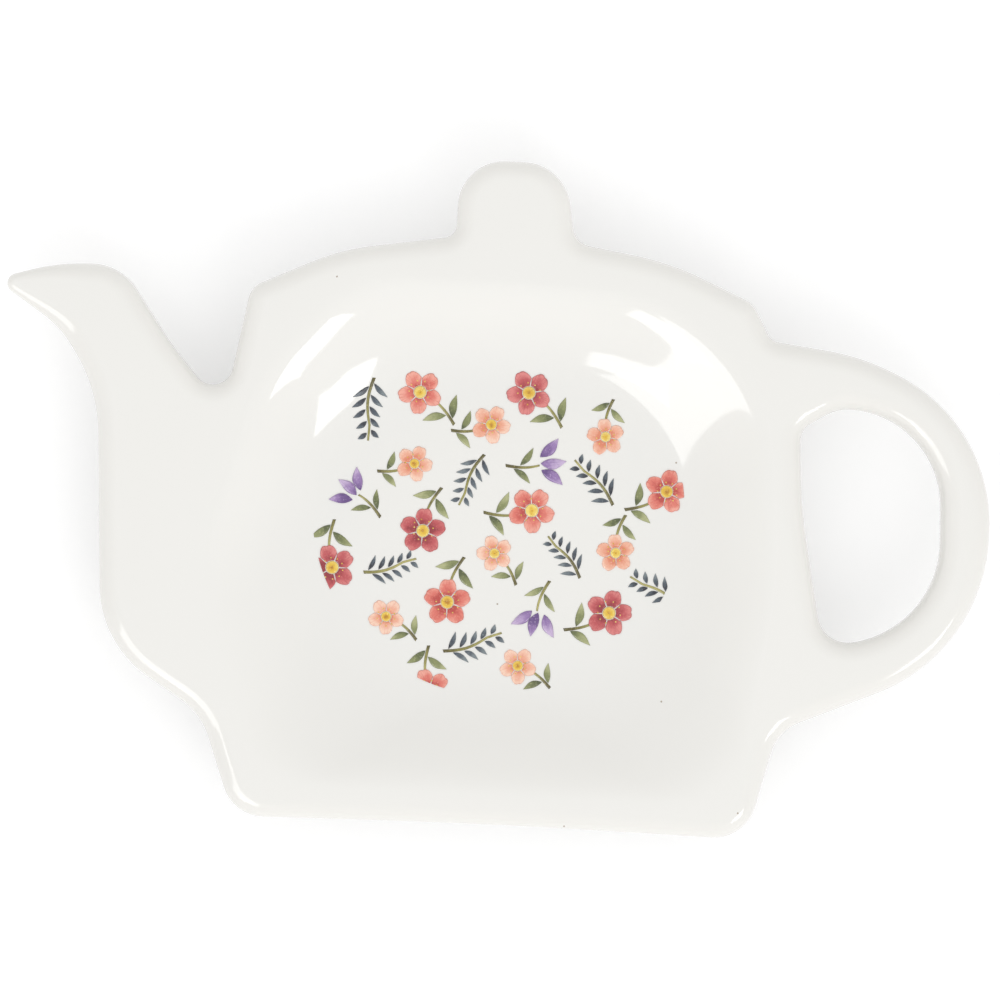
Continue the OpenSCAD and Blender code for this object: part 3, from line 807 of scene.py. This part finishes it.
# The darker rim, and the pricks of the screen
from_midrib = number(wash, (-1100, -520), "ABSOLUTE", given.outputs["Across"], 0.0)
side_rim = eased(wash, (-900, -520), from_midrib, 0.8, 1.0)
tip_rim = eased(wash, (-900, -700), given.outputs["Along"], 0.9, 1.0)
whole_rim = number(wash, (-700, -600), "MAXIMUM", side_rim, tip_rim)
rim_mask = number(wash, (-520, -600), "MULTIPLY", whole_rim, rim_depth)
pricks = add_node(wash, "ShaderNodeTexNoise", (-1300, -900), Scale=4300.0, Detail=1.0)
wash.links.new(place.outputs["Object"], pricks.inputs["Vector"])
prick_dots = eased(wash, (-900, -900), pricks.outputs["Fac"], 0.55, 0.8)
prick_mask = number(wash, (-700, -900), "MULTIPLY", prick_dots, prick_depth)

colour = given.outputs["Deep"]
steps_of_wash = ((mid_mask, "Mid"), (pale_mask, "Pale"), (veins, "Deep"), (rim_mask, "Deep"),
                 (prick_mask, "Pale"))
for k, (mask, towards) in enumerate(steps_of_wash):
    factor, first, second, result = mix_colour(wash, (-250 + 180 * k, 100))
    wash.links.new(mask, factor)
    wash.links.new(colour, first)
    wash.links.new(given.outputs[towards], second)
    colour = result
wash.links.new(colour, made.inputs["Color"])


def printed(red, green, blue):
    """A colour written as on screen, 0 to 255, as the shader's plain values."""
    plain = (((c / 255 + 0.055) / 1.055) ** 2.4 if c > 10 else c / 3295 for c in (red, green, blue))
    return (*plain, 1)


def enamel(name, deep, mid, pale, blotch_scale=900, veins=9, vein_depth=0.35):
    """A fused gloss enamel of one colour family."""
    material = bpy.data.materials.new(name)
    material.use_nodes = True
    tree = material.node_tree
    shader = tree.nodes["Principled BSDF"]
    shader.inputs["Roughness"].default_value = 0.13
    shader.inputs["IOR"].default_value = glass_ior
    film = add_node(tree, "ShaderNodeGroup", (-300, 200), node_tree=wash)
    for label, value in (("Deep", deep), ("Mid", mid), ("Pale", pale)):
        film.inputs[label].default_value = printed(*value)
    for label, value in (("Blotch Scale", blotch_scale), ("Veins", veins), ("Vein Depth", vein_depth)):
        film.inputs[label].default_value = value
    for k, label in enumerate(("Along", "Across", "Seed")):
        mark = add_node(tree, "ShaderNodeAttribute", (-560, 300 - 200 * k), attribute_name=label.lower())
        tree.links.new(mark.outputs["Fac"], film.inputs[label])
    tree.links.new(film.outputs["Color"], shader.inputs["Base Color"])
    waves = add_node(tree, "ShaderNodeGroup", (-560, -420), node_tree=ripple)
    for label, value in (("Wave Scale", wave_scale), ("Hole Scale", hole_scale)):
        waves.inputs[label].default_value = value
    bump = add_node(tree, "ShaderNodeBump", (-300, -420), Strength=wave_strength, Distance=wave_height)
    tree.links.new(waves.outputs["Height"], bump.inputs["Height"])
    tree.links.new(bump.outputs["Normal"], shader.inputs["Normal"])
    return material


def lay_film(film, material, node):
    """Dresses a film, rests it on the dish and lets it stand for its plain solid."""
    film.data.materials.append(material)
    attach(film, "root")
    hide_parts(node)


stem_tops = {"peach": 0.1, "coral": 0.1, "rose": 0.1, "lilac": 0.02, "slate": 0.85}
patches = [stem_patch(i, size, spot, turn, stem_tops[kind])
           for i, kind, size, spot, turn in sprigs(*stem_tops)]
stems = enamel_film("olive_stems", patches, film_t * 0.4)
lay_film(stems, enamel("olive_enamel", (96, 88, 44), (148, 142, 78), (186, 178, 112)),
         "print_stems")

# The print's leaves
# Sage green enamel, the second pass of the screen: a pair of pointed leaves on the lower stem
# of each flower, paler towards their tips.
leaf_curl, least_half_w = 0.06, 0.01 * mm


def leaf_patch(i, size, spot, turn, foot, lean, long, wide, steps=14):
    """A pointed leaf from its foot on the sprig, leaning to one side."""
    rows = []
    for k in range(steps + 1):
        a = k / steps
        half_w = wide / 2 * math.sin(math.pi * a ** 0.9) * (1 - 0.1 * a) + least_half_w
        curl = leaf_curl * long * math.sin(math.pi * a) * math.copysign(1, lean)
        row = []
        for side in (-1, -0.5, 0, 0.5, 1):
            x, y = side * half_w + curl, long * a
            c, s = math.cos(lean), math.sin(lean)
            row.append((placed(foot[0] + x * c - y * s, foot[1] + x * s + y * c, spot, turn), a, side))
        rows.append(row)
    return rows, wave(i, lean + long)


# How low a pair sits, its stagger, its lean in degrees, and a leaf's length and width, all but
# the lean as shares of the sprig's size
pairs = {"flower": (0.74, 0.10, 56, 0.70, 0.24), "lilac": (0.66, 0.10, 48, 0.66, 0.20)}
patches = []
for i, kind, size, spot, turn in sprigs("peach", "coral", "rose", "lilac"):
    low, step, lean, long, wide = pairs.get(kind, pairs["flower"])
    for side in (-1, 1):
        y = -size * (low + step * side)
        foot = (side * (stem_w / 2 + colour_gap) + bow_at(size, y), y)
        tilt = -side * math.radians(lean)
        patches.append(leaf_patch(i, size, spot, turn, foot, tilt, long * size, wide * size))
leaves = enamel_film("sage_leaves", patches, film_t * 0.55)
lay_film(leaves, enamel("sage_enamel", (84, 92, 56), (136, 142, 92), (184, 186, 138),
                        blotch_scale=800, veins=5, vein_depth=0.3),
         "print_leaves")

# The print's slate sprigs
# Blue-grey enamel, the third pass: ferny sprigs of five pairs of narrow leaflets, which
# shorten towards the tip.
leaflet_pairs, leaflet_steps = 5, 8
leaflet_lean = math.radians(50)
fern_run_share, fern_foot_share, fern_stagger_share = 1.7, 0.78, 0.05
leaflet_long_share, leaflet_less_share, leaflet_wide_share = 0.56, 0.06, 0.15
patches = []
for i, kind, size, spot, turn in sprigs("slate"):
    for k in range(leaflet_pairs):
        for side in (-1, 1):
            y = size * (fern_run_share * k / leaflet_pairs - fern_foot_share + fern_stagger_share * side)
            foot = (side * (stem_w / 2 + colour_gap) + bow_at(size, y), y)
            long, wide = size * (leaflet_long_share - leaflet_less_share * k), size * leaflet_wide_share
            patches.append(leaf_patch(i + k, size, spot, turn, foot, -side * leaflet_lean, long, wide,
                                      leaflet_steps))
slate = enamel_film("slate_sprigs", patches, film_t * 0.6)
lay_film(slate, enamel("slate_enamel", (40, 42, 52), (80, 90, 100), (128, 138, 142),
                       blotch_scale=1200, veins=4, vein_depth=0.3),
         "print_slate_sprigs")

# The print's open flowers
# Peach, coral and rose enamel: flowers of five notched petals, deep at the throat and veined
# outwards, each colour laid in its own pass of the screen.
petal_count, eye_share = 5, 0.2
flower_rise, flower_reach = 0.38, 0.70
roundness_share, notch_share, notch_width = 0.38, 0.06, 0.16
shrink_share, ruffle_share = 0.05, 0.015
petal_foot_share, petal_flare_share = 0.86, 0.12


def petal_patch(i, size, spot, turn, k, steps=10, columns=14):
    """One petal of a flower, from the eye to its notched edge."""
    seed = wave(i * petal_count + k, 3)
    rows = []
    for a in (n / steps for n in range(steps + 1)):
        row = []
        for t in (-1 + 2 * n / columns for n in range(columns + 1)):
            rounding = 1 - roundness_share + roundness_share * math.cos(math.pi / 2 * t)
            notch = notch_share * math.exp(-(t / notch_width) ** 2)
            ruffle = ruffle_share * math.sin(6 * t + 9 * seed)
            reach = flower_reach * size * rounding * (1 - notch - shrink_share * seed + ruffle)
            start = eye_share * size
            r = start + (reach - start) * a
            spread = math.pi / petal_count * (petal_foot_share + petal_flare_share * a)
            heading = 2 * math.pi * k / petal_count + t * spread
            x, y = r * math.cos(heading), flower_rise * size + r * math.sin(heading)
            row.append((placed(x, y, spot, turn), a, t))
        rows.append(row)
    return rows, seed


flower_colours = {
    "peach": ((226, 136, 104), (242, 176, 148), (252, 214, 192)),
    "coral": ((190, 74, 66), (226, 120, 106), (245, 172, 154)),
    "rose": ((150, 48, 56), (194, 84, 88), (226, 136, 132)),
}
for colour_name, shades in flower_colours.items():
    patches = [petal_patch(i, size, spot, turn, k)
               for i, kind, size, spot, turn in sprigs(colour_name) for k in range(petal_count)]
    petals = enamel_film(colour_name + "_petals", patches, film_t * 0.8)
    lay_film(petals, enamel(colour_name + "_enamel", *shades),
             "print_" + colour_name + "_petals")

# The print's lilac buds
# Violet enamel: a fan of three slim petals, which opens a hair of glaze above the stem of
# each lilac sprig.
bud_lean = math.radians(40)
bud_gap_share, bud_foot_share = 0.2, 0.04
bud_long_share, bud_wide_share = 0.78, 0.34
patches = []
for i, kind, size, spot, turn in sprigs("lilac"):
    for k in (-1, 0, 1):
        foot = (k * bud_gap_share * size + bud_foot_share * size, bud_foot_share * size + colour_gap)
        patches.append(leaf_patch(i + k, size, spot, turn, foot, -k * bud_lean,
                                  bud_long_share * size, bud_wide_share * size))
lilac = enamel_film("lilac_petals", patches, film_t * 0.8)
lay_film(lilac, enamel("lilac_enamel", (104, 76, 134), (156, 126, 180), (206, 184, 218),
                       blotch_scale=900, veins=6, vein_depth=0.4),
         "print_lilac_petals")

# The print's yellow centres
# Yellow enamel, the last pass: a round eye in every open flower, and a ring of fine stamen
# dots on the petals round it.
stamens, stamen_r = 9, 0.09 * mm
stamen_reach_share, stamen_vary_share = 0.27, 0.07
least_ring_share, dot_across = 0.02, 0.3


def dot_patch(i, centre, radius, spot, turn, rings=4, spokes=20):
    """A round dot, paler towards its edge."""
    rows = []
    for a in (n / rings for n in range(rings + 1)):
        row = []
        for n in range(spokes + 1):
            heading = 2 * math.pi * n / spokes
            r = radius * max(a, least_ring_share)
            x, y = centre[0] + r * math.cos(heading), centre[1] + r * math.sin(heading)
            row.append((placed(x, y, spot, turn), a, dot_across))
        rows.append(row)
    return rows, wave(i, 5)


patches = []
for i, kind, size, spot, turn in sprigs("peach", "coral", "rose"):
    middle_of_flower = (0, flower_rise * size)
    patches.append(dot_patch(i, middle_of_flower, eye_share * size - colour_gap, spot, turn))
    for k in range(stamens):
        heading = 2 * math.pi * (k + 0.5 * wave(k, i)) / stamens
        out = size * (stamen_reach_share + stamen_vary_share * wave(k, i + 2))
        x, y = out * math.cos(heading), middle_of_flower[1] + out * math.sin(heading)
        patches.append(dot_patch(k, (x, y), stamen_r, spot, turn, rings=2, spokes=8))
centres = enamel_film("yellow_centres", patches, film_t)
lay_film(centres, enamel("yellow_enamel", (196, 138, 36), (232, 190, 62), (246, 222, 124),
                         blotch_scale=1500, veins=3, vein_depth=0.2),
         "print_yellow_centres")
